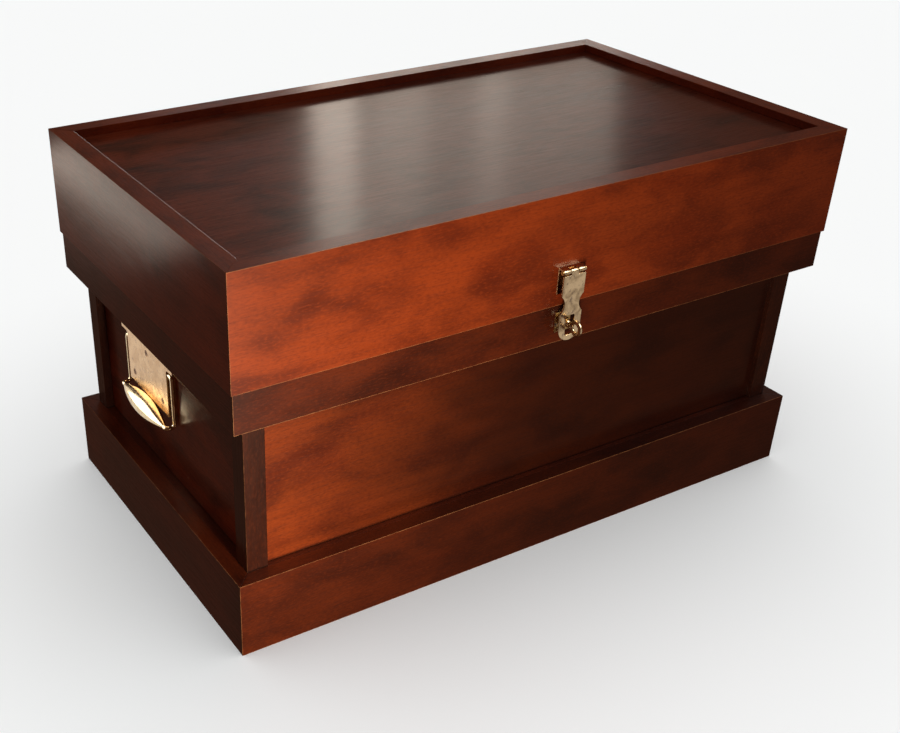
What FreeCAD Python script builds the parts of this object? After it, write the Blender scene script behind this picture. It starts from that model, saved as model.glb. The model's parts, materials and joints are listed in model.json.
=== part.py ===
import FreeCAD, Part
import os
import re
import Sketcher

# Wooden chest: a framed and panelled box with a mitred collar and plinth, a deep box lid on two
# butt hinges, a brass hasp with a turning staple, and a brass drop handle on each end.
# Millimetres, +Z up. The front is -Y. The origin is on the floor, in the middle of the overall box.

doc = FreeCAD.newDocument("WoodenChest")
dims = doc.addObject("Spreadsheet::Sheet", "Dims")

DRIVING = {
    # overall
    "chest_width": 711, "chest_depth": 406, "chest_height": 400,
    # lid
    "lid_height": 112.2, "lid_board": 20, "lid_recess": 8.5, "lid_panel_board": 10,
    "lid_groove": 6, "seam_gap": 0.8,
    # collar and plinth
    "collar_height": 40, "plinth_height": 83, "trim_inset": 2, "trim_board": 16,
    # frame and panels
    "post_side": 22, "post_foot_gap": 3, "lower_rail_height": 50, "bottom_board": 12,
    "front_recess": 6, "side_recess": 9.5, "panel_board": 10, "groove_depth": 5, "groove_play": 0.5,
    # butt hinges
    "hinge_spread": 210, "hinge_length": 60, "hinge_leaf": 26, "hinge_plate": 2,
    "hinge_barrel": 3.2, "hinge_pin": 1.5, "hinge_stand": 0.3, "hinge_screw_pitch": 20,
    "hinge_screw_drop": 15,
    # clearances shared by the metalwork
    "running_gap": 0.05, "knuckle_gap": 0.3, "pin_head": 0.8, "head_sink": 0.2,
    # hasp
    "hasp_rise": 37.5, "hasp_width": 26, "hasp_plate": 1.5, "hasp_stand": 6.7, "hasp_barrel": 2.8,
    "hasp_pin": 1.2, "hasp_leaf_drop": 24, "strap_plate": 1.8, "strap_length": 71.5,
    "waist_drop": 33, "waist_half": 8.8, "waist_curve": 11.7, "slot_width": 10, "slot_height": 21,
    "slot_drop": 55.3, "slot_corner": 2,
    # turning staple
    "staple_width": 18, "staple_height": 21, "staple_plate": 1.5, "boss_radius": 5.5,
    "boss_gap": 2, "neck_radius": 3.5, "eye_radius": 8.2, "eye_hole": 4, "eye_thick": 4.6,
    "eye_reach": 9.3, "stem_radius": 2, "stem_gap": 0.08, "rivet_radius": 3.2, "rivet_thick": 1,
    "rivet_room": 1, "rivet_play": 0.1,
    # drop handles
    "handle_offset": 38, "handle_plate": 5.5, "neck_half": 48.5, "neck_foot": 161,
    "head_half": 63, "head_foot": 215, "head_top": 237, "flare_radius": 4,
    "bail_pivot": 208.5, "bail_half": 56, "bail_pin": 1.8, "bail_socket": 9, "bail_tip_gap": 1,
    "bail_rod": 2.2, "bail_drop": 56, "grip_half": 49, "grip_radius": 10.5, "grip_end": 2.4,
    "grip_out": 9.5, "lip_depth": 3.6, "lip_thick": 2.4,
    # screws
    "small_head": 2, "small_core": 0.9, "small_length": 10,
    "medium_head": 2.9, "medium_core": 1.3, "medium_length": 13,
    "large_head": 3.6, "large_core": 1.7, "large_length": 14, "slot_wide": 0.7, "slot_deep": 0.6,
}

DERIVED = {
    "body_top": "chest_height - lid_height - seam_gap",
    "lid_foot": "body_top + seam_gap",
    "collar_foot": "body_top - collar_height",
    "trim_width": "chest_width - 2 * trim_inset",
    "trim_depth": "chest_depth - 2 * trim_inset",
    "post_x": "trim_width / 2 - trim_board",
    "post_y": "trim_depth / 2 - trim_board",
    "inner_x": "post_x - post_side",
    "inner_y": "post_y - post_side",
    "tongue": "groove_depth - groove_play",
    "rail_foot": "plinth_height - lower_rail_height",
    "panel_foot": "plinth_height - tongue",
    "panel_top": "collar_foot + tongue",
    "lid_panel_top": "chest_height - lid_recess",
    "lid_groove_foot": "lid_panel_top - lid_panel_board",
    "back_face": "trim_depth / 2",
    "hinge_y": "back_face + hinge_barrel + hinge_stand",
    "hinge_z": "body_top + seam_gap / 2",
    "hinge_clear": "hinge_barrel + knuckle_gap",
    "lid_front": "-chest_depth / 2",
    "hasp_y": "lid_front - hasp_stand",
    "hasp_z": "body_top + hasp_rise",
    "hasp_clear": "hasp_barrel + knuckle_gap",
    "strap_face": "hasp_y - hasp_barrel",
    "collar_front": "-trim_depth / 2",
    "staple_z": "hasp_z - slot_drop",
    "boss_face": "strap_face + strap_plate + boss_gap",
    "eye_y": "strap_face - eye_reach",
    "eye_tip": "eye_y - eye_radius",
    "side_face": "post_x - side_recess",
    "pivot_x": "side_face + handle_plate / 2",
    "grip_z": "bail_pivot - bail_drop",
    "row_shift": "(-eye_tip - hinge_y - hinge_barrel) / 2",
}

for row, (alias, value) in enumerate(DRIVING.items(), start=1):
    dims.set("A%d" % row, alias)
    dims.set("B%d" % row, str(value))
    dims.setAlias("B%d" % row, alias)
for row, (alias, formula) in enumerate(DERIVED.items(), start=1):
    dims.set("D%d" % row, alias)
    dims.set("E%d" % row, "=" + formula)
    dims.setAlias("E%d" % row, alias)
doc.recompute()

ALIASES = set(DRIVING) | set(DERIVED)
X_AXIS, Y_AXIS, Z_AXIS = (FreeCAD.Vector(*v) for v in ((1, 0, 0), (0, 1, 0), (0, 0, 1)))
nodes = []


def bound(text):
    """A formula with every driving or derived name pointed at its cell."""
    return re.sub(r"[a-z]\w*", lambda m: "Dims." + m.group() if m.group() in ALIASES else m.group(),
                  text)


def value(text):
    """The present value of a formula, for a starting guess in a sketch."""
    known = {name: float(getattr(dims, name)) for name in ALIASES if re.search(r"\b%s\b" % name, text)}
    for name in sorted(known, key=len, reverse=True):
        text = re.sub(r"\b%s\b" % name, "(%r)" % known[name], text)
    return float(FreeCAD.Units.Quantity(text).Value)


def drive(obj, **formulas):
    """Bind each named size of obj to its formula."""
    for name, text in formulas.items():
        obj.setExpression(name, bound(text))
    return obj


def place(obj, x, y, z, turn=None):
    """Put obj at a driven position, turned by (axis, degrees)."""
    if turn:
        obj.Placement = FreeCAD.Placement(FreeCAD.Vector(), FreeCAD.Rotation(*turn))
    for name, text in (("x", x), ("y", y), ("z", z)):
        obj.setExpression("Placement.Base." + name, bound(text))
    return obj


def box(dx, dy, dz, x, y, z):
    """A block with its low corner at x, y, z."""
    obj = doc.addObject("Part::Box", "Block")
    drive(obj, Length=dx, Width=dy, Height=dz)
    return place(obj, x, y, z)


DIRECTIONS = {
    "+x": (Y_AXIS, 90), "-x": (Y_AXIS, -90), "+y": (X_AXIS, -90), "-y": (X_AXIS, 90),
    "+z": (Z_AXIS, 0), "-z": (X_AXIS, 180),
}


def rod(radius, length, x, y, z, way):
    """A round bar that starts at x, y, z and runs along way."""
    obj = doc.addObject("Part::Cylinder", "Bar")
    drive(obj, Radius=radius, Height=length)
    return place(obj, x, y, z, DIRECTIONS[way])


def ball(radius, x, y, z):
    """A round elbow where two bars meet."""
    obj = doc.addObject("Part::Sphere", "Elbow")
    drive(obj, Radius=radius)
    return place(obj, x, y, z)


def cone(near, far, length, x, y, z, way):
    """A taper from radius near at x, y, z to radius far."""
    obj = doc.addObject("Part::Cone", "Taper")
    drive(obj, Radius1=near, Radius2=far, Height=length)
    return place(obj, x, y, z, DIRECTIONS[way])


def fuse(parts):
    obj = doc.addObject("Part::MultiFuse", "Joined")
    obj.Shapes = parts
    return obj


def cut(base, tools):
    obj = doc.addObject("Part::Cut", "Trimmed")
    obj.Base = base
    obj.Tool = tools[0] if len(tools) == 1 else fuse(tools)
    return obj


def common(first, second):
    obj = doc.addObject("Part::MultiCommon", "Shared")
    obj.Shapes = [first, second]
    return obj


def group(parts):
    obj = doc.addObject("Part::Compound", "Set")
    obj.Links = parts
    return obj


def node(label, obj):
    """Name a finished sub-part and set it in the shared frame."""
    if obj.TypeId in ("PartDesign::Body", "Part::Box"):
        obj = group([obj])
    obj.Label = label
    place(obj, "0", "row_shift", "0")
    nodes.append(obj)
    return obj


def plane(body, role):
    """One of a body's own origin planes."""
    return next(f for f in body.Origin.OriginFeatures if f.Role == role)


def sketch_on(body, role, name):
    sketch = body.newObject("Sketcher::SketchObject", name)
    sketch.AttachmentSupport = [(plane(body, role), "")]
    sketch.MapMode = "FlatFace"
    return sketch


def pin_point(sketch, geo, end, x, y):
    """Hold one end of a line or arc at a driven place in the sketch."""
    for kind, axis, text in (("DistanceX", -2, x), ("DistanceY", -1, y)):
        if text == "0":
            sketch.addConstraint(Sketcher.Constraint("PointOnObject", geo, end, axis))
        else:
            made = sketch.addConstraint(Sketcher.Constraint(kind, -1, 1, geo, end, value(text)))
            sketch.setExpression("Constraints[%d]" % made, bound(text))


def outline(sketch, corners):
    """A closed run of straight edges through driven corners."""
    points = [FreeCAD.Vector(value(x), value(y), 0) for x, y in corners]
    first = sketch.GeometryCount
    for i, point in enumerate(points):
        sketch.addGeometry(Part.LineSegment(point, points[(i + 1) % len(points)]))
    for i, (x, y) in enumerate(corners):
        after = first + (i + 1) % len(corners)
        sketch.addConstraint(Sketcher.Constraint("Coincident", first + i, 2, after, 1))
        pin_point(sketch, first + i, 1, x, y)


def mitred_board(length, thick, height, foot, groove=None):
    """A board with 45 degree mitres. Its outer face is y = 0 and it is centred on x = 0."""
    body = doc.addObject("PartDesign::Body", "Board")
    section = sketch_on(body, "YZ_Plane", "Section")
    low, high = foot, "%s + %s" % (foot, height)
    corners = [("0", low), (thick, low)]
    if groove:
        floor, wall, deep = groove
        inner = "%s - %s" % (thick, deep)
        corners += [(thick, floor), (inner, floor), (inner, "%s + %s" % (floor, wall)),
                    (thick, "%s + %s" % (floor, wall))]
    corners += [(thick, high), ("0", high)]
    outline(section, corners)
    pad = body.newObject("PartDesign::Pad", "Run")
    pad.Profile = section
    pad.SideType = "Symmetric"
    drive(pad, Length=length)
    ends = sketch_on(body, "XY_Plane", "Mitres")
    reach = "(%s) / 2" % length
    for sign in ("", "-"):
        tip = "%s(%s)" % (sign, reach)
        root = "%s(%s - %s)" % (sign, reach, thick)
        past = "%s(%s + %s)" % (sign, reach, thick)
        outline(ends, [(tip, "0"), (root, thick), (past, thick)])
    mitre = body.newObject("PartDesign::Pocket", "MitreCut")
    mitre.Profile = ends
    mitre.Type = "ThroughAll"
    mitre.SideType = "Symmetric"
    body.Tip = mitre
    return body


def mitred_frame(prefix, width, depth, thick, height, foot, groove=None, drilled=None):
    """Four mitred boards round a rectangle, with any holes drilled in the board named."""
    sides = {
        "front": (width, "0", "-(%s) / 2" % depth, 0),
        "right": (depth, "(%s) / 2" % width, "0", 90),
        "back": (width, "0", "(%s) / 2" % depth, 180),
        "left": (depth, "-(%s) / 2" % width, "0", 270),
    }
    for side, (length, x, y, angle) in sides.items():
        board = mitred_board(length, thick, height, foot, groove)
        place(board, x, y, "0", (Z_AXIS, angle))
        tools = (drilled or {}).get(side)
        node("%s_%s" % (prefix, side), cut(board, tools) if tools else board)


def screw(size, x, y, z, way):
    """A slotted countersunk wood screw. Its flat head is sunk at x, y, z and it runs along way."""
    head, core, length = ("%s_%s" % (size, part) for part in ("head", "core", "length"))
    sign = 1 if way[0] == "+" else -1
    axis = way[1]
    at = {"x": x, "y": y, "z": z}
    at[axis] = "%s + %d * head_sink" % (at[axis], sign)
    taper = cone(head, core, "%s - %s" % (head, core), at["x"], at["y"], at["z"], way)
    shank = rod(core, length, at["x"], at["y"], at["z"], way)
    blade = {"x": "slot_wide", "y": "slot_wide", "z": "slot_wide"}
    low = {k: "%s - slot_wide / 2" % v for k, v in at.items()}
    across = "z" if axis == "y" else "y"
    blade[across] = "2 * %s + 2" % head
    low[across] = "%s - %s - 1" % (at[across], head)
    blade[axis] = "2 * slot_deep"
    low[axis] = "%s - slot_deep" % at[axis]
    slot = box(blade["x"], blade["y"], blade["z"], low["x"], low["y"], low["z"])
    return cut(fuse([taper, shank]), [slot])


def screw_seat(size, x, y, z, way):
    """The countersink and clear hole that a screw needs in a metal plate."""
    head, core = "%s_head" % size, "%s_core" % size
    axis, sign = way[1], 1 if way[0] == "+" else -1
    above, seat = dict(x=x, y=y, z=z), dict(x=x, y=y, z=z)
    above[axis] = "%s - %d" % (above[axis], sign)
    seat[axis] = "%s + %d * head_sink" % (seat[axis], sign)
    return fuse([
        rod(head, "1 + head_sink", above["x"], above["y"], above["z"], way),
        cone(head, core, "%s - %s" % (head, core), seat["x"], seat["y"], seat["z"], way),
        rod(core, "%s_length" % size, seat["x"], seat["y"], seat["z"], way),
    ])


def pilot(size, x, y, z, way):
    """The hole a screw's shank fills in wood, with a little room past its tip."""
    at = dict(x=x, y=y, z=z)
    sign = 1 if way[0] == "+" else -1
    at[way[1]] = "%s + %d * head_sink" % (at[way[1]], sign)
    return rod("%s_core" % size, "%s_length + groove_play" % size, at["x"], at["y"], at["z"], way)


# ---------------------------------------------------------------- screw places
hinge_x = {"left": "-hinge_spread", "right": "hinge_spread"}
hinge_face = "back_face + hinge_plate"
body_hinge_screws = [("%s + %d * hinge_screw_pitch" % (x, i), hinge_face, "hinge_z - hinge_screw_drop")
                     for x in hinge_x.values() for i in (-1, 0, 1)]
lid_hinge_screws = [(x, y, z.replace("-", "+")) for x, y, z in body_hinge_screws]
hasp_screws = [("%d * hasp_width / 3.4" % i, "lid_front - hasp_plate", "hasp_z - %d" % drop)
               for i in (-1, 1) for drop in (8, 19)]
staple_screws = [("%d * staple_width * 0.34" % i, "collar_front - staple_plate",
                  "staple_z + %d * staple_height * 0.36" % j) for i in (-1, 1) for j in (-1, 1)]
handle_spots = [("-neck_half * 0.73", "neck_foot + 12"), ("neck_half * 0.73", "neck_foot + 12"),
                ("0", "head_foot - 4"), ("-head_half * 0.8", "head_foot + 12"),
                ("head_half * 0.8", "head_foot + 12")]


def handle_screws(sign):
    return [("%d * (side_face + handle_plate)" % sign, "handle_offset + %s" % y, z)
            for y, z in handle_spots]


# ---------------------------------------------------------------- collar and plinth
rivet_pocket = rod("rivet_radius + rivet_room", "rivet_thick + 2 * rivet_room",
                   "0", "collar_front", "staple_z", "+y")
mitred_frame("plinth", "trim_width", "trim_depth", "trim_board", "plinth_height", "0")
mitred_frame("collar", "trim_width", "trim_depth", "trim_board", "collar_height", "collar_foot",
             drilled={
                 "front": [pilot("small", *p, "+y") for p in staple_screws] + [rivet_pocket],
                 "back": [pilot("medium", *p, "-y") for p in body_hinge_screws],
             })

# ---------------------------------------------------------------- posts, rails and panels
for name, sx, sy in (("front_left", -1, -1), ("front_right", 1, -1),
                     ("back_left", -1, 1), ("back_right", 1, 1)):
    def span(sign, high, size):
        """Low corner of a block whose far side from the middle is at high."""
        return "%s - %s" % (high, size) if sign > 0 else "-(%s)" % high
    post = box("post_side", "post_side", "body_top - post_foot_gap",
               span(sx, "post_x", "post_side"), span(sy, "post_y", "post_side"), "post_foot_gap")
    tall = ("panel_top - panel_foot", "panel_foot")
    long_groove = box("groove_depth", "panel_board", tall[0],
                      span(sx, "inner_x + groove_depth", "groove_depth"),
                      span(sy, "post_y - front_recess", "panel_board"), tall[1])
    side_groove = box("panel_board", "groove_depth", tall[0],
                      span(sx, "post_x - side_recess", "panel_board"),
                      span(sy, "inner_y + groove_depth", "groove_depth"), tall[1])
    node("post_" + name, cut(post, [long_groove, side_groove]))

for side, sign in (("front", -1), ("back", 1)):
    y_low = "post_y - post_side" if sign > 0 else "-post_y"
    y_panel = "post_y - front_recess - panel_board" if sign > 0 else "-(post_y - front_recess)"
    for level, high, foot, slot_foot in (
            ("lower", "lower_rail_height", "rail_foot", "plinth_height - groove_depth"),
            ("upper", "collar_height", "collar_foot", "collar_foot")):
        rail = box("2 * inner_x", "post_side", high, "-inner_x", y_low, foot)
        slot = box("2 * inner_x", "panel_board", "groove_depth", "-inner_x", y_panel, slot_foot)
        node("%s_rail_%s" % (level, side), cut(rail, [slot]))
    node("panel_" + side, box("2 * (inner_x + tongue)", "panel_board", "panel_top - panel_foot",
                              "-(inner_x + tongue)", y_panel, "panel_foot"))

for side, sign in (("left", -1), ("right", 1)):
    x_low = "post_x - post_side" if sign > 0 else "-post_x"
    x_panel = "side_face - panel_board" if sign > 0 else "-side_face"
    for level, high, foot, slot_foot in (
            ("lower", "lower_rail_height", "rail_foot", "plinth_height - groove_depth"),
            ("upper", "collar_height", "collar_foot", "collar_foot")):
        rail = box("post_side", "2 * inner_y", high, x_low, "-inner_y", foot)
        slot = box("panel_board", "2 * inner_y", "groove_depth", x_panel, "-inner_y", slot_foot)
        node("%s_rail_%s" % (level, side), cut(rail, [slot]))
    panel = box("panel_board", "2 * (inner_y + tongue)", "panel_top - panel_foot",
                x_panel, "-(inner_y + tongue)", "panel_foot")
    way = "+x" if sign < 0 else "-x"
    node("panel_" + side, cut(panel, [pilot("large", *p, way) for p in handle_screws(sign)]))

floor = box("2 * post_x", "2 * post_y", "bottom_board", "-post_x", "-post_y", "rail_foot - bottom_board")
notches = [box("post_side", "post_side", "bottom_board", x, y, "rail_foot - bottom_board")
           for x in ("-post_x", "inner_x") for y in ("-post_y", "inner_y")]
node("bottom_board", cut(floor, notches))

# ---------------------------------------------------------------- lid
end_room = "(pin_head + knuckle_gap)"
mortises = [box("hinge_length + 2 * " + end_room, "chest_depth / 2 - back_face",
                "hinge_leaf - seam_gap / 2", "%s - hinge_length / 2 - %s" % (x, end_room),
                "back_face", "lid_foot") for x in hinge_x.values()]
mitred_frame("lid_board", "chest_width", "chest_depth", "lid_board", "lid_height", "lid_foot",
             groove=("lid_groove_foot", "lid_panel_board", "lid_groove"),
             drilled={
                 "front": [pilot("small", *p, "+y") for p in hasp_screws],
                 "back": mortises + [pilot("medium", *p, "-y") for p in lid_hinge_screws],
             })
lid_span = "2 * (lid_board - lid_groove + groove_play)"
node("lid_panel", box("chest_width - " + lid_span, "chest_depth - " + lid_span, "lid_panel_board",
                      "-(chest_width - %s) / 2" % lid_span, "-(chest_depth - %s) / 2" % lid_span,
                      "lid_groove_foot"))

# ---------------------------------------------------------------- butt hinges
third = "hinge_length / 3"
for side, x in hinge_x.items():
    start = "%s - hinge_length / 2" % x
    plates = {"body": "hinge_z - hinge_leaf", "lid": "hinge_z + hinge_clear"}
    steps = {"body": (0, 2), "lid": (1,)}
    spots = {"body": body_hinge_screws, "lid": lid_hinge_screws}
    for owner in ("body", "lid"):
        solids = [box("hinge_length", "hinge_plate", "hinge_leaf - hinge_clear", start, "back_face",
                      plates[owner])]
        for step in steps[owner]:
            trim = {0: ("0", "knuckle_gap"), 1: ("0", "0"), 2: ("knuckle_gap", "0")}[step]
            low = "%s + %d * %s + %s" % (start, step, third, trim[0])
            long = "%s - %s - %s" % (third, trim[0], trim[1])
            tab_foot = "hinge_z - hinge_clear" if owner == "body" else "hinge_z"
            solids.append(box(long, "hinge_plate", "hinge_clear", low, "back_face", tab_foot))
            solids.append(rod("hinge_barrel", long, low, "hinge_y", "hinge_z", "+x"))
        bore = rod("hinge_pin + running_gap", "hinge_length + 2", "%s - 1" % start,
                   "hinge_y", "hinge_z", "+x")
        own = [p for p in spots[owner] if p[0].startswith(x + " ")]
        node("%s_hinge_%s_leaf" % (side, owner),
             cut(fuse(solids), [bore] + [screw_seat("medium", *p, "-y") for p in own]))

hinge_pins = []
for x in hinge_x.values():
    ends = [rod("hinge_barrel * 0.8", "pin_head", "%s + %s" % (x, e), "hinge_y", "hinge_z", "+x")
            for e in ("hinge_length / 2", "-(hinge_length / 2 + pin_head)")]
    hinge_pins.append(fuse([rod("hinge_pin", "hinge_length", "%s - hinge_length / 2" % x,
                                "hinge_y", "hinge_z", "+x")] + ends))
node("hinge_pins", group(hinge_pins))
node("hinge_body_screws", group([screw("medium", *p, "-y") for p in body_hinge_screws]))
node("hinge_lid_screws", group([screw("medium", *p, "-y") for p in lid_hinge_screws]))

# ---------------------------------------------------------------- hasp
hasp_third = "hasp_width / 3"
half = "hasp_width / 2"
leaf = [
    box("hasp_width", "hasp_plate", "hasp_leaf_drop + hasp_barrel", "-" + half,
        "lid_front - hasp_plate", "hasp_z - hasp_leaf_drop"),
    box("hasp_width", "hasp_stand - hasp_clear", "hasp_plate", "-" + half, "hasp_y + hasp_clear",
        "hasp_z + hasp_barrel - hasp_plate"),
]
for step in (0, 2):
    gap = "knuckle_gap" if step == 2 else "0"
    low = "-%s + %d * %s + %s" % (half, step, hasp_third, gap)
    long = "%s - knuckle_gap" % hasp_third
    leaf.append(box(long, "hasp_clear", "hasp_plate", low, "hasp_y", "hasp_z + hasp_barrel - hasp_plate"))
    leaf.append(rod("hasp_barrel", long, low, "hasp_y", "hasp_z", "+x"))
hasp_bore = rod("hasp_pin + running_gap", "hasp_width + 2", "-%s - 1" % half, "hasp_y", "hasp_z", "+x")
node("hasp_leaf", cut(fuse(leaf), [hasp_bore] + [screw_seat("small", *p, "+y") for p in hasp_screws]))
node("hasp_screws", group([screw("small", *p, "+y") for p in hasp_screws]))
pin_ends = [rod("hasp_barrel * 0.8", "pin_head", e, "hasp_y", "hasp_z", "+x")
            for e in (half, "-(%s + pin_head)" % half)]
node("hasp_pin", fuse([rod("hasp_pin", "hasp_width", "-" + half, "hasp_y", "hasp_z", "+x")] + pin_ends))

strap_depth = ("strap_plate", "strap_face")
straight = "strap_length - hasp_clear - " + half
strap = [
    box("hasp_width", strap_depth[0], straight, "-" + half, strap_depth[1],
        "hasp_z - hasp_clear - (%s)" % straight),
    rod(half, strap_depth[0], "0", strap_depth[1], "hasp_z - strap_length + " + half, "+y"),
    box(hasp_third, strap_depth[0], "hasp_clear", "-%s / 2" % hasp_third, strap_depth[1],
        "hasp_z - hasp_clear"),
    rod("hasp_barrel", hasp_third, "-%s / 2" % hasp_third, "hasp_y", "hasp_z", "+x"),
]
bites = [rod("waist_curve", "strap_plate + 2", "%d * (waist_half + waist_curve)" % s, "strap_face - 1",
             "hasp_z - waist_drop", "+y") for s in (-1, 1)]
window = [
    box("slot_width", "strap_plate + 2", "slot_height - 2 * slot_corner", "-slot_width / 2",
        "strap_face - 1", "staple_z - slot_height / 2 + slot_corner"),
    box("slot_width - 2 * slot_corner", "strap_plate + 2", "slot_height",
        "-slot_width / 2 + slot_corner", "strap_face - 1", "staple_z - slot_height / 2"),
] + [rod("slot_corner", "strap_plate + 2", "%d * (slot_width / 2 - slot_corner)" % i, "strap_face - 1",
         "staple_z + %d * (slot_height / 2 - slot_corner)" % j, "+y") for i in (-1, 1) for j in (-1, 1)]
strap_bore = rod("hasp_pin + running_gap", "hasp_width + 2", "-%s - 1" % half, "hasp_y", "hasp_z", "+x")
node("hasp_strap", cut(fuse(strap), bites + window + [strap_bore]))

# ---------------------------------------------------------------- turning staple
staple_base = [
    box("staple_width", "staple_plate", "staple_height", "-staple_width / 2",
        "collar_front - staple_plate", "staple_z - staple_height / 2"),
    rod("boss_radius", "collar_front - boss_face", "0", "collar_front", "staple_z", "-y"),
]
stem_bore = rod("stem_radius + stem_gap", "collar_front - boss_face + 2", "0", "collar_front + 1",
                "staple_z", "-y")
node("staple_plate", cut(fuse(staple_base), [stem_bore] + [screw_seat("small", *p, "+y")
                                                           for p in staple_screws]))
node("staple_screws", group([screw("small", *p, "+y") for p in staple_screws]))
eye_solids = [
    rod("rivet_radius", "rivet_thick", "0", "collar_front + rivet_play", "staple_z", "+y"),
    rod("stem_radius", "collar_front - boss_face + 3 * rivet_play", "0", "collar_front + 2 * rivet_play",
        "staple_z", "-y"),
    rod("neck_radius", "boss_face - rivet_play - (eye_y + eye_hole + 1.5)", "0",
        "boss_face - rivet_play", "staple_z", "-y"),
    rod("eye_radius", "eye_thick", "-eye_thick / 2", "eye_y", "staple_z", "+x"),
]
eye_hole = rod("eye_hole", "eye_thick + 2 * neck_radius", "-eye_thick / 2 - neck_radius", "eye_y",
               "staple_z", "+x")
node("staple_eye", cut(fuse(eye_solids), [eye_hole]))


# ---------------------------------------------------------------- drop handles
def spindle(radius, end, half_length):
    """A lens-shaped grip turned about the Y axis."""
    body = doc.addObject("PartDesign::Body", "Grip")
    profile = sketch_on(body, "XY_Plane", "Profile")
    bow = "((%s)^2 + (%s - %s)^2) / (2 * (%s - %s))" % (half_length, radius, end, radius, end)
    length, rise = value(half_length), value(radius) - value(end)
    bow_now = (length ** 2 + rise ** 2) / (2 * rise)
    arc = Part.Arc(FreeCAD.Vector(value(end), -length, 0), FreeCAD.Vector(value(radius), 0, 0),
                   FreeCAD.Vector(value(end), length, 0))
    profile.addGeometry(arc)
    tips = [FreeCAD.Vector(value(end), length, 0), FreeCAD.Vector(0, length, 0),
            FreeCAD.Vector(0, -length, 0), FreeCAD.Vector(value(end), -length, 0)]
    for a, b in zip(tips, tips[1:]):
        profile.addGeometry(Part.LineSegment(a, b))
    for one, one_end, two, two_end in ((0, 2, 1, 1), (1, 2, 2, 1), (2, 2, 3, 1), (3, 2, 0, 1)):
        profile.addConstraint(Sketcher.Constraint("Coincident", one, one_end, two, two_end))
    pin_point(profile, 1, 1, end, half_length)
    pin_point(profile, 2, 1, "0", half_length)
    pin_point(profile, 3, 1, "0", "-(%s)" % half_length)
    pin_point(profile, 0, 1, end, "-(%s)" % half_length)
    held = profile.addConstraint(Sketcher.Constraint("Radius", 0, bow_now))
    profile.setExpression("Constraints[%d]" % held, bound(bow))
    turned = body.newObject("PartDesign::Revolution", "Turned")
    turned.Profile = profile
    turned.ReferenceAxis = (profile, ["V_Axis"])
    turned.Angle = 360
    body.Tip = turned
    return body


for side, sign in (("left", -1), ("right", 1)):
    def out(text):
        """A distance from the middle of the chest towards this end."""
        return "%d * (%s)" % (sign, text)

    inner = "side_face" if sign > 0 else "-(side_face + handle_plate)"
    way_in = "+x" if sign < 0 else "-x"
    head = box("handle_plate", "2 * head_half", "head_top - head_foot", inner,
               "handle_offset - head_half", "head_foot")
    neck = box("handle_plate", "2 * neck_half", "head_foot - neck_foot", inner,
               "handle_offset - neck_half", "neck_foot")
    flares = []
    for turn in (-1, 1):
        y_low = "handle_offset + neck_half" if turn > 0 else "handle_offset - neck_half - flare_radius"
        y_mid = "handle_offset + %d * (neck_half + flare_radius)" % turn
        block = box("handle_plate", "flare_radius", "flare_radius", inner, y_low, "head_foot - flare_radius")
        scoop = rod("flare_radius", "handle_plate + 2", out("side_face - 1"), y_mid,
                    "head_foot - flare_radius", "+x" if sign > 0 else "-x")
        flares.append(cut(block, [scoop]))
    sockets = [rod("bail_pin + running_gap", "bail_socket + 1", out("pivot_x"),
                   "handle_offset + %d * (neck_half + 1)" % turn, "bail_pivot",
                   "-y" if turn > 0 else "+y") for turn in (-1, 1)]
    seats = [screw_seat("large", *p, way_in) for p in handle_screws(sign)]
    node(side + "_handle_plate", cut(fuse([head, neck] + flares), sockets + seats))
    node(side + "_handle_screws", group([screw("large", *p, way_in) for p in handle_screws(sign)]))

    grip = place(spindle("grip_radius", "grip_end", "grip_half"),
                 out("pivot_x + grip_out"), "handle_offset", "grip_z")
    rim = place(spindle("grip_radius + lip_depth", "grip_end", "grip_half"),
                out("pivot_x + grip_out"), "handle_offset", "grip_z")
    slab = box("lip_thick", "2 * grip_half", "grip_radius + lip_depth",
               "%s - lip_thick / 2" % out("pivot_x + grip_out"), "handle_offset - grip_half",
               "grip_z - grip_radius - lip_depth")
    bars = [grip, common(rim, slab)]
    for turn in (-1, 1):
        y_arm = "handle_offset + %d * bail_half" % turn
        y_pin = "handle_offset + %d * (neck_half - bail_socket + bail_tip_gap)" % turn
        link = "bail_half - grip_half + grip_end"
        outward = "+x" if sign > 0 else "-x"
        bars += [
            rod("bail_pin", "bail_half - neck_half + bail_socket - bail_tip_gap", out("pivot_x"), y_pin,
                "bail_pivot", "+y" if turn > 0 else "-y"),
            ball("bail_rod", out("pivot_x"), y_arm, "bail_pivot"),
            rod("bail_rod", "bail_drop", out("pivot_x"), y_arm, "bail_pivot", "-z"),
            ball("bail_rod", out("pivot_x"), y_arm, "grip_z"),
            rod("bail_rod", "grip_out", out("pivot_x"), y_arm, "grip_z", outward),
            ball("bail_rod", out("pivot_x + grip_out"), y_arm, "grip_z"),
            rod("bail_rod", link, out("pivot_x + grip_out"), y_arm, "grip_z", "-y" if turn > 0 else "+y"),
        ]
    node(side + "_bail", fuse(bars))

# ---------------------------------------------------------------- check and write out
doc.recompute()
faults = ["%s: %s" % (o.Label, o.State) for o in doc.Objects
          if "Invalid" in o.State or "Error" in o.State]
faults += ["%s: no valid shape" % n.Label for n in nodes if n.Shape.isNull() or not n.Shape.isValid()]
if faults:
    raise RuntimeError("; ".join(faults))
os.makedirs("parts", exist_ok=True)
for made in nodes:
    made.Shape.exportStep("parts/%s.step" % made.Label)
print("nodes", len(nodes))
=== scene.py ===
import json
import logging
import math
from dataclasses import dataclass, field, replace
from enum import Enum
from typing import NamedTuple, Sequence

import bpy
from mathutils import Matrix, Quaternion, Vector

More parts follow.
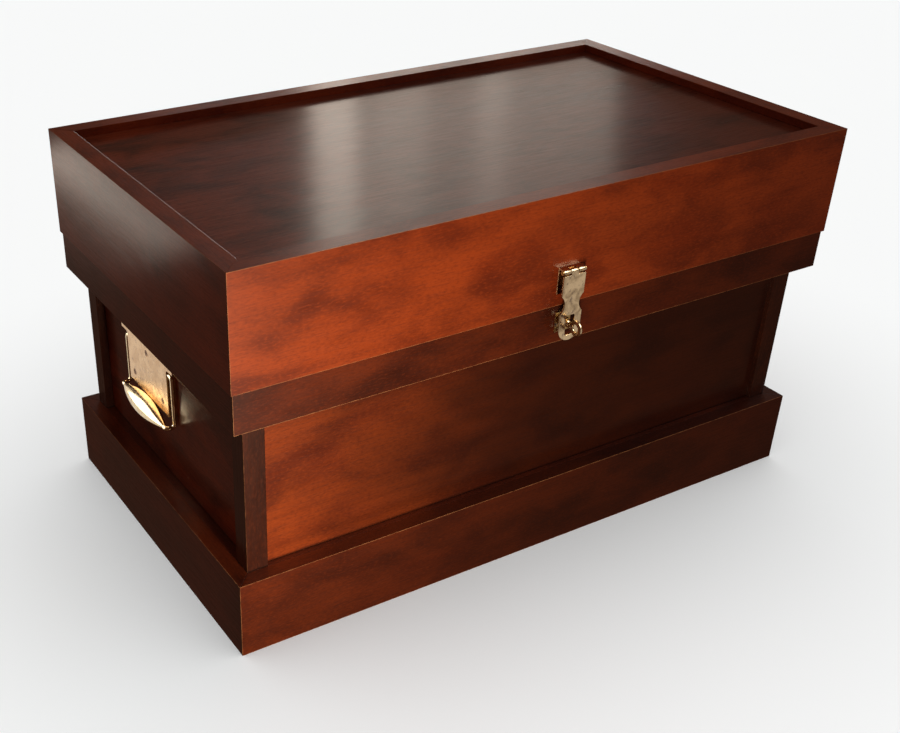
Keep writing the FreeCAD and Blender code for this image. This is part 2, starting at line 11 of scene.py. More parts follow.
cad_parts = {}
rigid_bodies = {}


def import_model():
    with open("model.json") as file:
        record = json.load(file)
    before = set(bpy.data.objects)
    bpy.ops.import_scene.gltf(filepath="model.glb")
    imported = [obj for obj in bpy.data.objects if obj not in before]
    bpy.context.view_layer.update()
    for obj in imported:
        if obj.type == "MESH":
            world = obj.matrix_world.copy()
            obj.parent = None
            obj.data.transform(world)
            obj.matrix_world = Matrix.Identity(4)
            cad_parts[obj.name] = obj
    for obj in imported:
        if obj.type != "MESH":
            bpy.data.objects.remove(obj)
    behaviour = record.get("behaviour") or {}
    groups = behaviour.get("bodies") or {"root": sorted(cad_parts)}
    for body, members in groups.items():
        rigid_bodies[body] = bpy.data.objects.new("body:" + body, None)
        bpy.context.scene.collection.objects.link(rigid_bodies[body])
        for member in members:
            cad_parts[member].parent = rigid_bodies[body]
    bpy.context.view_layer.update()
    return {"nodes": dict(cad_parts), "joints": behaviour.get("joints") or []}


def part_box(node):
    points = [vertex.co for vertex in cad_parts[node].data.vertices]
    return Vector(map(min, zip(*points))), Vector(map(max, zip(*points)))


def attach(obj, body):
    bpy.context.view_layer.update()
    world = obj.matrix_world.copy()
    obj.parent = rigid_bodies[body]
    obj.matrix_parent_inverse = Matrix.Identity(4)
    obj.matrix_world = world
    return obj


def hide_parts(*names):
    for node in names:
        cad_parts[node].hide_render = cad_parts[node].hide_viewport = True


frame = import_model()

MM = 0.001
SIDES = ("front", "right", "back", "left")
SEAM = 0.000005                      # corners nearer than this are one corner
SHARP_OVER_DEG = 35                  # an edge that turns more than this is eased
SMOOTH_UNDER_DEG = 38                # and one that turns less than this is shaded smooth
DAYLIGHT_TINT = "#F7E8D8"

log = logging.getLogger("wooden_chest")
logging.basicConfig(level=logging.INFO, format="%(name)s: %(message)s")

Colour = tuple[float, float, float, float]
Corners = tuple[Vector, Vector]


class Way(Enum):
    """The direction that a board's grain, or a plate's brushing, runs in."""

    ALONG = 0
    DEEP = 1
    UP = 2


# ------------------------------------------------------------------ shared helpers
def shade(code: str) -> Colour:
    """Turn an sRGB hex colour to the linear one that a socket takes.

    Args:
        code: six hex digits after a hash mark.

    Returns:
        Linear red, green, blue and an alpha of 1.
    """
    parts = [int(code[i:i + 2], 16) / 255 for i in (1, 3, 5)]
    linear = [p / 12.92 if p <= 0.04045 else ((p + 0.055) / 1.055) ** 2.4 for p in parts]
    return (linear[0], linear[1], linear[2], 1.0)


def lay(tree: bpy.types.NodeTree, kind: str, settings: dict[str, object],
        feeds: dict[int | str, object], out: int = 0) -> bpy.types.NodeSocket | None:
    """Add one node with its settings, values and links.

    Args:
        tree: the node tree that it goes into.
        kind: the node's type name.
        settings: attributes set on the node.
        feeds: what goes into each input, a socket to link or a value to set.
        out: which output to hand back.

    Returns:
        The output socket asked for, or None from a node that has no outputs.
    """
    node = tree.nodes.new(kind)
    for name, setting in settings.items():
        setattr(node, name, setting)
    for name, feed in feeds.items():
        if isinstance(feed, bpy.types.NodeSocket):
            tree.links.new(feed, node.inputs[name])
        else:
            node.inputs[name].default_value = feed
    return node.outputs[out] if node.outputs else None


def outline_of(names: Sequence[str]) -> Corners:
    """Find the box round several CAD nodes.

    Args:
        names: the nodes to take in.

    Returns:
        The lowest and highest corner in metres.
    """
    boxes = [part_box(name) for name in names]
    low = Vector([min(b[0][i] for b in boxes) for i in range(3)])
    high = Vector([max(b[1][i] for b in boxes) for i in range(3)])
    return low, high


def joint_centre(name: str) -> Vector:
    """Give the point that a named joint turns about, in metres."""
    return Vector(next(j["pos_m"] for j in frame["joints"] if j["name"] == name))


def dress(piece: bpy.types.Object, material: bpy.types.Material) -> None:
    """Put one material over the whole of a piece.

    Args:
        piece: a CAD node or a new piece.
        material: the finish it gets.
    """
    if not piece.material_slots:
        piece.data.materials.append(material)
    for held in piece.material_slots:
        held.material = material


def ease(name: str, radius_mm: float, rings: int = 2) -> bpy.types.Object:
    """Take the sharpness off a CAD node's edges with modifiers alone.

    Args:
        name: the CAD node.
        radius_mm: how wide the eased arris is.
        rings: how many facets round it.

    Returns:
        The node's object.
    """
    piece = frame["nodes"][name]
    weld = piece.modifiers.new("Close seams", "WELD")
    weld.merge_threshold = 2 * SEAM
    bevel = piece.modifiers.new("Eased arris", "BEVEL")
    bevel.width = radius_mm * MM
    bevel.segments = rings
    bevel.limit_method = "ANGLE"
    bevel.angle_limit = math.radians(SHARP_OVER_DEG)
    return piece


def only(piece: bpy.types.Object) -> None:
    """Select one piece and make it the active one."""
    bpy.ops.object.select_all(action="DESELECT")
    piece.select_set(True)
    bpy.context.view_layer.objects.active = piece


def start_ring(centre: Vector, along: Vector, radius: float, facets: int) -> None:
    """Add an open ring square to a direction and enter edit mode with it selected.

    Args:
        centre: the middle of the ring.
        along: the way the bar will run.
        radius: the ring's radius in metres.
        facets: the number of its edges.
    """
    bpy.ops.object.select_all(action="DESELECT")
    bpy.ops.mesh.primitive_circle_add(
        vertices=facets, radius=radius, fill_type="NOTHING", location=centre,
        rotation=along.to_track_quat("Z", "Y").to_euler())
    bpy.ops.object.mode_set(mode="EDIT")
    bpy.ops.mesh.select_all(action="SELECT")


def close_piece(name: str) -> bpy.types.Object:
    """Cap the open ends, face everything outwards and bring the origin home.

    Args:
        name: what the piece is called.

    Returns:
        The finished piece, with its place in its mesh.
    """
    bpy.ops.mesh.select_all(action="SELECT")
    bpy.ops.mesh.remove_doubles(threshold=SEAM)
    bpy.ops.mesh.fill_holes(sides=0)
    bpy.ops.mesh.normals_make_consistent(inside=False)
    bpy.ops.object.mode_set(mode="OBJECT")
    bpy.ops.object.transform_apply(location=True, rotation=True, scale=True)
    piece = bpy.context.object
    piece.name = piece.data.name = name
    return piece


def turned(name: str, start: Vector, along: Vector, profile: Sequence[tuple[float, float]],
           facets: int = 48) -> bpy.types.Object:
    """Turn a round piece from its profile, ring by ring.

    Args:
        name: what the piece is called.
        start: where distance 0 of the profile lies.
        along: the axis it is turned on.
        profile: (distance, radius) pairs in metres.
        facets: how many sides go round it.

    Returns:
        The closed piece.
    """
    along = along.normalized()
    at, radius = profile[0]
    start_ring(start + along * at, along, radius, facets)
    for far, wide in profile[1:]:
        bpy.ops.mesh.extrude_region_move(TRANSFORM_OT_translate={"value": along * (far - at)})
        grow = wide / radius
        bpy.ops.transform.resize(value=(grow, grow, grow), center_override=start + along * far)
        at, radius = far, wide
    return close_piece(name)


def bent_bar(name: str, route: Sequence[Vector], radius: float, bend: float,
             facets: int = 24) -> bpy.types.Object:
    """Bend a round bar along a route of straight legs with rounded corners.

    Args:
        name: what the piece is called.
        route: the corners of the bar's middle line.
        radius: the bar's radius in metres.
        bend: the radius of the middle line round each corner.
        facets: how many sides go round it.

    Returns:
        The closed bar.
    """
    ways = [(b - a).normalized() for a, b in zip(route, route[1:])]
    start_ring(route[0], ways[0], radius, facets)
    at = route[0]
    for corner, before, after in zip(route[1:-1], ways, ways[1:]):
        turn = before.angle(after)
        back = bend * math.tan(turn / 2)
        tangent = corner - before * back
        bpy.ops.mesh.extrude_region_move(TRANSFORM_OT_translate={"value": tangent - at})
        inward = (after - before * after.dot(before)).normalized()
        bpy.ops.mesh.spin(steps=8, angle=-turn, center=tangent + inward * bend,
                          axis=before.cross(after).normalized())
        at = corner + after * back
    bpy.ops.mesh.extrude_region_move(TRANSFORM_OT_translate={"value": route[-1] - at})
    return close_piece(name)


def weld_on(base: bpy.types.Object, added: Sequence[bpy.types.Object]) -> bpy.types.Object:
    """Unite solid shapes into one closed piece.

    Args:
        base: the piece that is kept.
        added: the shapes that become part of it.

    Returns:
        The united piece.
    """
    for extra in added:
        only(base)
        union = base.modifiers.new("United", "BOOLEAN")
        union.operation = "UNION"
        union.solver = "EXACT"
        union.object = extra
        bpy.ops.object.modifier_apply(modifier=union.name)
        bpy.data.objects.remove(extra, do_unlink=True)
    return base


def mirrored(piece: bpy.types.Object, name: str, axis: int, centre: Vector) -> bpy.types.Object:
    """Copy a piece, with a mesh of its own, to the other side of a plane.

    Args:
        piece: what is copied.
        name: what the copy is called.
        axis: which axis the plane is square to.
        centre: a point on the plane.

    Returns:
        The copy, facing outwards.
    """
    twin = piece.copy()
    twin.data = piece.data.copy()
    twin.name = twin.data.name = name
    bpy.context.collection.objects.link(twin)
    only(twin)
    flip = [1, 1, 1]
    flip[axis] = -1
    bpy.ops.object.mode_set(mode="EDIT")
    bpy.ops.mesh.select_all(action="SELECT")
    bpy.ops.transform.resize(value=flip, center_override=centre)
    bpy.ops.mesh.normals_make_consistent(inside=False)
    bpy.ops.object.mode_set(mode="OBJECT")
    return twin


def polish(piece: bpy.types.Object) -> None:
    """Shade a piece smooth, apart from its sharp edges."""
    only(piece)
    bpy.ops.object.shade_smooth_by_angle(angle=math.radians(SMOOTH_UNDER_DEG))


# ------------------------------------------------------------------ finishes
class Mark(NamedTuple):
    """One kind of mark in the wood: its size, its finer layers, its wander and its own offset."""

    long_mm: float
    wide_mm: float
    detail: float
    wander: float
    shift: float


CLOUD = Mark(170, 75, detail=2.0, wander=0.3, shift=3.1)
PATCH = Mark(80, 42, detail=3.0, wander=0.5, shift=11.7)
STRIPE = Mark(520, 13, detail=2.0, wander=0.2, shift=5.3)
# The real pores are a quarter of a millimetre wide: drawn at 1 mm, so that they show.
FIBRE = Mark(26, 1.0, detail=3.0, wander=0.1, shift=23.0)
FLECK = Mark(4.5, 1.7, detail=2.0, wander=0.0, shift=31.0)
RIPPLE = Mark(60, 22, detail=1.0, wander=0.0, shift=41.0)
KNOCK = Mark(7, 7, detail=2.0, wander=0.0, shift=53.0)


@dataclass(frozen=True)
class VarnishedWood:
    """Stained hardwood under gloss varnish.

    The stain takes unevenly, which gives the cloudy dark and orange patches. The varnish gives a
    clear reflection on top, and it is thin on the arrises, where the pale wood shows; that pale band is
    also a painted highlight. Painted shade can darken the colour towards one end, and a painted
    contact shade darkens the foot.
    """

    name: str
    grain: Way
    outline: Corners
    dark: str = "#4E1B0C"
    middle: str = "#843113"
    flame: str = "#B54C1C"
    # Pale colour along the arrises: bare worn wood, and a painted highlight where the arris catches light.
    bare_wood_and_highlight: str = "#C98F62"
    flame_share: float = 0.5
    stripe_share: float = 0.28
    # The pale arris band's width and amount: part wear, part painted highlight.
    arris_mm: float = 0.6
    arris_wear_and_highlight: float = 0.35
    varnish_roughness: float = 0.16
    # Painted contact shade along the foot, where it meets the plinth: its height here, its colour and blur
    # below.
    foot_shade_height_mm: float = 0.0
    # Painted shade: how much, in what colour and over what span the colour darkens towards the right end,
    # standing in for the light falling off.
    painted_shade: float = 0.0
    painted_shade_colour: str = "#210B06"
    painted_shade_span: tuple[float, float] = (-0.14, 0.47)
    painted_shade_wander_mm: float = 100.0
    # Colour and blur of the painted contact shade along the foot.
    foot_shade: str = "#120503"
    foot_shade_blur_mm: float = 4.0

    def build(self) -> bpy.types.Material:
        """Make the material.

        Returns:
            A node material on Object coordinates.
        """
        made = bpy.data.materials.new(self.name)
        made.use_nodes = True
        tree = made.node_tree
        tree.nodes.clear()
        coords = lay(tree, "ShaderNodeTexCoord", {}, {}, 3)

        cloud, patch, stripe, fibre, fleck, ripple = (
            self._figure(tree, coords, mark) for mark in (CLOUD, PATCH, STRIPE, FIBRE, FLECK, RIPPLE))

        flame_at = 0.6 - 0.2 * self.flame_share
        stain = shade(self.dark)
        for colour, pattern, band, share in (
                (self.middle, cloud, (0.28, 0.66), 1.0),
                (self.flame, patch, (flame_at - 0.2, flame_at + 0.2), self.flame_share),
                (self.dark, stripe, (0.45, 0.75), self.stripe_share),
                (self.dark, fibre, (0.45, 0.8), 0.38),
                (self.flame, fleck, (0.5, 0.74), 0.3),
                (self.dark, fleck, (0.5, 0.3), 0.3)):
            stain = self._tint(tree, stain, colour, pattern, band, (0.0, share))
        # Painted shade darkens the colour towards the right end.
        if self.painted_shade:
            stain = self._paint_shade(tree, coords, cloud, stain)
        # Painted contact shade darkens a ragged line along the foot.
        if self.foot_shade_height_mm:
            stain = self._paint_foot_shade(tree, coords, cloud, stain)
        # Pale arrises: worn wood and a painted highlight.
        stain = self._paint_arris_wear_and_highlight(tree, coords, stain)

        grain_bump = lay(tree, "ShaderNodeBump", {}, {"Strength": 0.35, "Distance": 0.0001,
                                                      "Height": fibre})
        varnish_bump = lay(tree, "ShaderNodeBump", {}, {"Strength": 0.5, "Distance": 0.0003,
                                                        "Height": ripple})
        varnish_bump = lay(tree, "ShaderNodeBump", {}, {"Strength": 0.12, "Distance": 0.00006,
                                                        "Height": fibre, "Normal": varnish_bump})
        rough = lay(tree, "ShaderNodeMapRange", {}, {0: fibre, 1: 0.3, 2: 0.7, 3: 0.36, 4: 0.56})
        surface = lay(tree, "ShaderNodeBsdfPrincipled", {}, {
            "Base Color": stain, "Roughness": rough,
            "IOR": 1.5, "Specular IOR Level": 0.2, "Normal": grain_bump, "Coat Weight": 1.0,
            "Coat Roughness": self.varnish_roughness, "Coat IOR": 1.5, "Coat Normal": varnish_bump})
        lay(tree, "ShaderNodeOutputMaterial", {}, {"Surface": surface})
        return made

    def _figure(self, tree: bpy.types.NodeTree, coords: bpy.types.NodeSocket,
                mark: Mark) -> bpy.types.NodeSocket:
        """Draw noise stretched along the grain.

        Args:
            tree: the material's tree.
            coords: Object coordinates.
            mark: the kind of mark.

        Returns:
            The noise, from 0 to 1.
        """
        scale = [1000 / mark.wide_mm] * 3
        scale[self.grain.value] = 1000 / mark.long_mm
        offset = (mark.shift, mark.shift * 0.7, mark.shift * 1.3)
        spot = lay(tree, "ShaderNodeMapping", {}, {"Vector": coords, "Scale": scale,
                                                   "Location": offset})
        return lay(tree, "ShaderNodeTexNoise", {}, {
            "Vector": spot, "Scale": 1.0, "Detail": mark.detail, "Distortion": mark.wander})

    def _tint(self, tree: bpy.types.NodeTree, under: object, colour: str,
              pattern: bpy.types.NodeSocket, band: tuple[float, float],
              share: tuple[float, float]) -> bpy.types.NodeSocket:
        """Lay a colour over the stain as far as a pattern says.

        Args:
            tree: the material's tree.
            under: the colour so far.
            colour: the colour that is laid over it.
            pattern: what decides how much of it there is.
            band: the pattern's values between which the share changes.
            share: how much of the colour there is at each end of that band.

        Returns:
            The new colour.
        """
        amount = lay(tree, "ShaderNodeMapRange", {"interpolation_type": "SMOOTHSTEP"},
                     {0: pattern, 1: band[0], 2: band[1], 3: share[0], 4: share[1]})
        return lay(tree, "ShaderNodeMix", {"data_type": "RGBA"},
                   {0: amount, 6: under, 7: shade(colour)}, 2)

    def _paint_shade(self, tree: bpy.types.NodeTree, coords: bpy.types.NodeSocket,
                cloud: bpy.types.NodeSocket, stain: bpy.types.NodeSocket) -> bpy.types.NodeSocket:
        """Darken the colour from the left end to the middle: painted shade, standing in for the light
        falling off towards the right.
        """
        low, high = self.outline
        across = lay(tree, "ShaderNodeSeparateXYZ", {}, {0: coords}, 0)
        ragged = lay(tree, "ShaderNodeMath", {"operation": "MULTIPLY_ADD"},
                     {0: cloud, 1: -2 * self.painted_shade_wander_mm * MM, 2: across})
        middle_of_wander = low.x - self.painted_shade_wander_mm * MM
        start, end = (middle_of_wander + at * (high.x - low.x) for at in self.painted_shade_span)
        return self._tint(tree, stain, self.painted_shade_colour, ragged, (start, end), (0.0, self.painted_shade))

    def _paint_arris_wear_and_highlight(self, tree: bpy.types.NodeTree, coords: bpy.types.NodeSocket,
                    stain: bpy.types.NodeSocket) -> bpy.types.NodeSocket:
        """Paint the outer edges of the box that this wood makes up pale: partly bare worn wood, partly a
        painted highlight where the arris catches light.

        A point on a face is nothing away from that face, so its distance from the nearest edge is
        the middle one of its three distances from the outline.

        Args:
            tree: the material's tree.
            coords: Object coordinates.
            stain: the colour so far.

        Returns:
            The colour with the pale worn wood and painted highlight along the arrises.
        """
        low, high = self.outline
        away = lay(tree, "ShaderNodeVectorMath", {"operation": "SUBTRACT"},
                   {0: coords, 1: (low + high) / 2})
        away = lay(tree, "ShaderNodeVectorMath", {"operation": "ABSOLUTE"}, {0: away})
        inward = lay(tree, "ShaderNodeVectorMath", {"operation": "SUBTRACT"},
                     {0: (high - low) / 2, 1: away})
        parts = tree.nodes.new("ShaderNodeSeparateXYZ")
        tree.links.new(inward, parts.inputs[0])
        x, y, z = parts.outputs
        near = lay(tree, "ShaderNodeMath", {"operation": "MINIMUM"}, {0: x, 1: y})
        far = lay(tree, "ShaderNodeMath", {"operation": "MAXIMUM"}, {0: x, 1: y})
        far = lay(tree, "ShaderNodeMath", {"operation": "MINIMUM"}, {0: far, 1: z})
        edge = lay(tree, "ShaderNodeMath", {"operation": "MAXIMUM"}, {0: near, 1: far})
        ragged = self._figure(tree, coords, KNOCK)
        arris = self.arris_mm * MM
        edge = lay(tree, "ShaderNodeMath", {"operation": "MULTIPLY_ADD"},
                   {0: ragged, 1: -1.4 * arris, 2: edge})
        band = (-0.7 * arris, 0.3 * arris)
        return self._tint(tree, stain, self.bare_wood_and_highlight, edge, band, (self.arris_wear_and_highlight, 0.0))

    def _paint_foot_shade(self, tree: bpy.types.NodeTree, coords: bpy.types.NodeSocket,
              cloud: bpy.types.NodeSocket, stain: bpy.types.NodeSocket) -> bpy.types.NodeSocket:
        """Darken a ragged line along the foot: painted contact shade, where the foot meets the plinth."""
        height = lay(tree, "ShaderNodeSeparateXYZ", {}, {0: coords}, 2)
        blur = self.foot_shade_blur_mm * MM
        wavy = lay(tree, "ShaderNodeMath", {"operation": "MULTIPLY_ADD"},
                   {0: cloud, 1: -blur, 2: height})
        foot = self.foot_shade_height_mm * MM
        band = (foot - 0.75 * blur, foot + 0.25 * blur)
        return self._tint(tree, stain, self.foot_shade, wavy, band, (0.85, 0.0))


@dataclass(frozen=True)
class AgedBrass:
    """Polished brass that has dulled with handling.

    Patches of brown and grey tarnish are duller than the bright metal round them, and fine
    scratches follow the way the plate was rubbed.
    """

    name: str
    brushed: Way
    bright: str = "#E3C08A"
    tarnish: str = "#8A6A3C"
    bruise: str = "#6F5F5A"
    tarnish_share: float = 0.5
    smooth: float = 0.16
    dull: float = 0.42
    cloud_mm: float = 11.0
    spot_mm: float = 4.5
    scratch_long_mm: float = 24.0
    scratch_wide_mm: float = 0.8

    def build(self) -> bpy.types.Material:
        """Make the material.

        Returns:
            A node material on Object coordinates.
        """
        made = bpy.data.materials.new(self.name)
        made.use_nodes = True
        tree = made.node_tree
        tree.nodes.clear()
        coords = lay(tree, "ShaderNodeTexCoord", {}, {}, 3)
        cloud = lay(tree, "ShaderNodeTexNoise", {}, {"Vector": coords, "Scale": 1000 / self.cloud_mm,
                                                     "Detail": 5.0, "Distortion": 0.8})
        spot = lay(tree, "ShaderNodeTexNoise", {}, {"Vector": coords, "Scale": 1000 / self.spot_mm,
                                                    "Detail": 3.0, "Distortion": 0.3})
        scale = [1000 / self.scratch_wide_mm] * 3
        scale[self.brushed.value] = 1000 / self.scratch_long_mm
        rubbed = lay(tree, "ShaderNodeMapping", {}, {"Vector": coords, "Scale": scale})
        scratch = lay(tree, "ShaderNodeTexNoise", {}, {"Vector": rubbed, "Scale": 1.0,
                                                       "Detail": 3.0})
        dulled = lay(tree, "ShaderNodeMapRange", {"interpolation_type": "SMOOTHSTEP"},
                     {0: cloud, 1: 0.34, 2: 0.7, 3: 0.0, 4: self.tarnish_share})
        colour = lay(tree, "ShaderNodeMix", {"data_type": "RGBA"},
                     {0: dulled, 6: shade(self.bright), 7: shade(self.tarnish)}, 2)
        bruised = lay(tree, "ShaderNodeMapRange", {"interpolation_type": "SMOOTHSTEP"},
                      {0: spot, 1: 0.54, 2: 0.72, 3: 0.0, 4: self.tarnish_share})
        colour = lay(tree, "ShaderNodeMix", {"data_type": "RGBA"},
                     {0: bruised, 6: colour, 7: shade(self.bruise)}, 2)
        rough = lay(tree, "ShaderNodeMapRange", {},
                    {0: cloud, 1: 0.3, 2: 0.72, 3: self.smooth, 4: self.dull})
        bump = lay(tree, "ShaderNodeBump", {}, {"Strength": 0.2, "Distance": 0.00003,
                                                "Height": scratch})
        bump = lay(tree, "ShaderNodeBump", {}, {"Strength": 0.1, "Distance": 0.00005,
                                                "Height": spot, "Normal": bump})
        surface = lay(tree, "ShaderNodeBsdfPrincipled", {}, {
            "Base Color": colour, "Metallic": 1.0, "Roughness": rough, "Normal": bump})
        lay(tree, "ShaderNodeOutputMaterial", {}, {"Surface": surface})
        return made


# ------------------------------------------------------------------ the chest's own parts
@dataclass
class MitredBand:
    """Four mitred boards round the chest: the plinth, the collar or the sides of the lid."""

    prefix: str
    arris_mm: float
    finish: VarnishedWood

    def dress(self) -> None:
        """Ease every board and give it wood whose grain follows its length."""
        for side in SIDES:
            name = "%s_%s" % (self.prefix, side)
            way = Way.ALONG if side in ("front", "back") else Way.DEEP
            wood = replace(self.finish, grain=way,
                           name="%s_%s" % (self.finish.name, way.name.lower()))
            dress(ease(name, self.arris_mm), wood.build())
            log.info("board %s", name)

    @staticmethod
    def boards(prefix: str) -> list[str]:
        """List the nodes of one band."""
        return ["%s_%s" % (prefix, side) for side in SIDES]

    @classmethod
    def trim(cls, prefix: str, arris_wear_and_highlight: float, painted_shade: float) -> "MitredBand":
        """Set up the plinth or the collar, which have one stain.

        Args:
            prefix: which of the two it is.
            arris_wear_and_highlight: how pale its arrises are, from wear and a painted highlight.
            painted_shade: how much painted shade darkens its right end.

        Returns:
            The band, ready to dress.
        """
        wood = VarnishedWood(prefix + " wood", Way.ALONG, outline_of(cls.boards(prefix)),
                             dark="#3A140A", middle="#64260F", flame="#8E3C18",
                             arris_wear_and_highlight=arris_wear_and_highlight, varnish_roughness=0.2, painted_shade=painted_shade)
        return cls(prefix, 0.5, wood)


@dataclass
class Carcase:
    """The frame of posts and rails with its four panels and its bottom board."""

    arris_mm: float = 0.5
    panel_arris_mm: float = 0.3
    posts: list[str] = field(default_factory=lambda: [
        "post_%s_%s" % (a, b) for a in ("front", "back") for b in ("left", "right")])

    def dress(self) -> None:
        """Dress posts, rails, panels and bottom, each with grain along its length."""
        round_posts = outline_of(self.posts)
        plinth_top_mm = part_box("plinth_front")[1].z / MM
        # Painted contact shade darkens the posts and panels along the foot, where they meet the plinth;
        # the posts' pale arrises are worn wood and a painted highlight.
        post = VarnishedWood("post wood", Way.UP, round_posts, dark="#240D08", middle="#3E190C",
                             flame="#642D16", flame_share=0.35, arris_mm=0.6, arris_wear_and_highlight=0.3,
                             varnish_roughness=0.2, foot_shade_height_mm=plinth_top_mm).build()
        for name in self.posts:
            dress(ease(name, self.arris_mm), post)
            log.info("post %s", name)
        for side in SIDES:
            way = Way.ALONG if side in ("front", "back") else Way.DEEP
            panel = "panel_" + side
            # Painted shade darkens each panel towards its right end, the front one most.
            wood = VarnishedWood("%s panel wood" % side, way, outline_of([panel]),
                                 middle="#7E3014", flame="#B9531F", flame_share=0.6, arris_wear_and_highlight=0.0,
                                 varnish_roughness=0.2, foot_shade_height_mm=plinth_top_mm,
                                 painted_shade=0.88 if side == "front" else 0.35)
            dress(ease(panel, self.panel_arris_mm), wood.build())
            rail_wood = VarnishedWood("%s rail wood" % side, way, round_posts, dark="#2A0E08",
                                      middle="#4E1C0D", flame="#7A3216", arris_wear_and_highlight=0.0,
                                      varnish_roughness=0.24).build()
            for level in ("lower", "upper"):
                dress(ease("%s_rail_%s" % (level, side), self.arris_mm), rail_wood)
            log.info("panel and rails %s", side)
        bottom = VarnishedWood("bottom wood", Way.ALONG, outline_of(["bottom_board"]), dark="#4A2614",
                               middle="#8A5A34", flame="#A87546", arris_wear_and_highlight=0.0,
                               varnish_roughness=0.35).build()
        dress(ease("bottom_board", self.arris_mm), bottom)
        log.info("bottom board")


@dataclass
class BoxLid:
    """The deep lid: a mitred band with a panel let in below its rim."""

    arris_mm: float = 0.5

    def dress(self) -> None:
        """Dress the band and the panel."""
        boards = MitredBand.boards("lid_board")
        # The lid band's pale arrises are worn wood and a painted highlight.
        wood = VarnishedWood("lid wood", Way.ALONG, outline_of(boards), dark="#632410", middle="#8C3514",
                             flame="#BA5020", flame_share=0.6, arris_mm=0.7, arris_wear_and_highlight=0.5,
                             varnish_roughness=0.2)
        MitredBand("lid_board", self.arris_mm, wood).dress()
        # Painted shade darkens the lid panel towards its right end.
        panel = VarnishedWood("lid panel wood", Way.ALONG, outline_of(["lid_panel"]), dark="#2A0E09",
                              middle="#6C2616", flame="#A84826", flame_share=0.8,
                              stripe_share=0.06, arris_wear_and_highlight=0.0, varnish_roughness=0.15,
                              painted_shade=0.55)
        dress(ease("lid_panel", self.arris_mm), panel.build())
        log.info("lid panel")


@dataclass
class ButtHinges:
    """The two hinges on the back, with their pins and screws."""

    arris_mm: float = 0.25

    def dress(self) -> None:
        """Dress leaves, pins and screws."""
        leaf = AgedBrass("hinge brass", Way.ALONG, tarnish_share=0.6).build()
        screw = AgedBrass("hinge screw brass", Way.ALONG, bright="#D8B070", dull=0.5).build()
        for side in ("left", "right"):
            for owner in ("body", "lid"):
                dress(ease("%s_hinge_%s_leaf" % (side, owner), self.arris_mm), leaf)
        dress(ease("hinge_pins", self.arris_mm), screw)
        for name in ("hinge_body_screws", "hinge_lid_screws"):
            dress(frame["nodes"][name], screw)
        log.info("butt hinges")


@dataclass
class Hasp:
    """The hasp: a leaf on the lid, its pin and screws, and the slotted strap."""

    arris_mm: float = 0.35

    def dress(self) -> None:
        """Dress the hasp's plates and small parts."""
        plate = AgedBrass("hasp brass", Way.UP, bright="#E2C79C", tarnish="#7E6444",
                          bruise="#6E5C56", tarnish_share=0.7, smooth=0.18, dull=0.34).build()
        small = AgedBrass("hasp screw brass", Way.ALONG, bright="#CDA869", dull=0.5).build()
        for name in ("hasp_leaf", "hasp_strap"):
            dress(ease(name, self.arris_mm, 3), plate)
        for name in ("hasp_pin", "hasp_screws"):
            dress(frame["nodes"][name], small)
        log.info("hasp")


@dataclass
class TurningStaple:
    """The plate on the collar and the thick ring that turns in it."""

    plate_arris_mm: float = 0.3
    neck_mm: float = 3.5
    peg_mm: float = 2.0
    rivet_mm: float = 3.2
    ring_bar_mm: float = 2.15
    facets: int = 56
    bar_facets: int = 28

    def build(self) -> None:
        """Model the ring with its neck, stem and riveted end, and dress the plate."""
        low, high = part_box("staple_eye")
        centre = joint_centre("staple_turn")
        centre.y = low.y + (high.z - low.z) / 2
        reach = (high.z - low.z) / 2
        bar = self.ring_bar_mm * MM
        bpy.ops.object.select_all(action="DESELECT")
        bpy.ops.mesh.primitive_torus_add(
            major_segments=self.facets, minor_segments=self.bar_facets, major_radius=reach - bar,
            minor_radius=bar, location=centre, rotation=(0, math.pi / 2, 0))
        bpy.ops.object.mode_set(mode="EDIT")
        ring = close_piece("staple_ring")
        neck, peg, rivet = self.neck_mm * MM, self.peg_mm * MM, self.rivet_mm * MM
        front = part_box("staple_plate")[0].y - 0.1 * MM - centre.y
        inner = reach - 2 * bar + 1.2 * MM
        end = high.y - centre.y
        profile = [(inner, 0.5 * neck), (inner + 0.6 * MM, 0.82 * neck),
                   (inner + 2.2 * MM, 0.86 * neck), (front - 2.8 * MM, 0.8 * neck),
                   (front - 2.0 * MM, neck), (front - 0.4 * MM, neck), (front, 0.9 * neck),
                   (front + 0.01 * MM, peg), (end - 1.05 * MM, peg), (end - 1.0 * MM, rivet),
                   (end - 0.1 * MM, rivet), (end, rivet - 0.1 * MM)]
        shank = turned("staple_shank", centre, Vector((0, 1, 0)), profile, 40)
        ring = weld_on(ring, [shank])
        polish(ring)
        dress(ring, AgedBrass("ring brass", Way.DEEP, bright="#F0D6A8", tarnish="#9A7A50",
                              tarnish_share=0.35, smooth=0.2, dull=0.3).build())
        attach(ring, "staple_eye")
        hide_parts("staple_eye")
        plate = AgedBrass("staple plate brass", Way.UP, bright="#CDAA70", tarnish="#6B5128",
                          tarnish_share=0.8).build()
        dress(ease("staple_plate", self.plate_arris_mm), plate)
        dress(frame["nodes"]["staple_screws"], plate)
        log.info("turning staple")


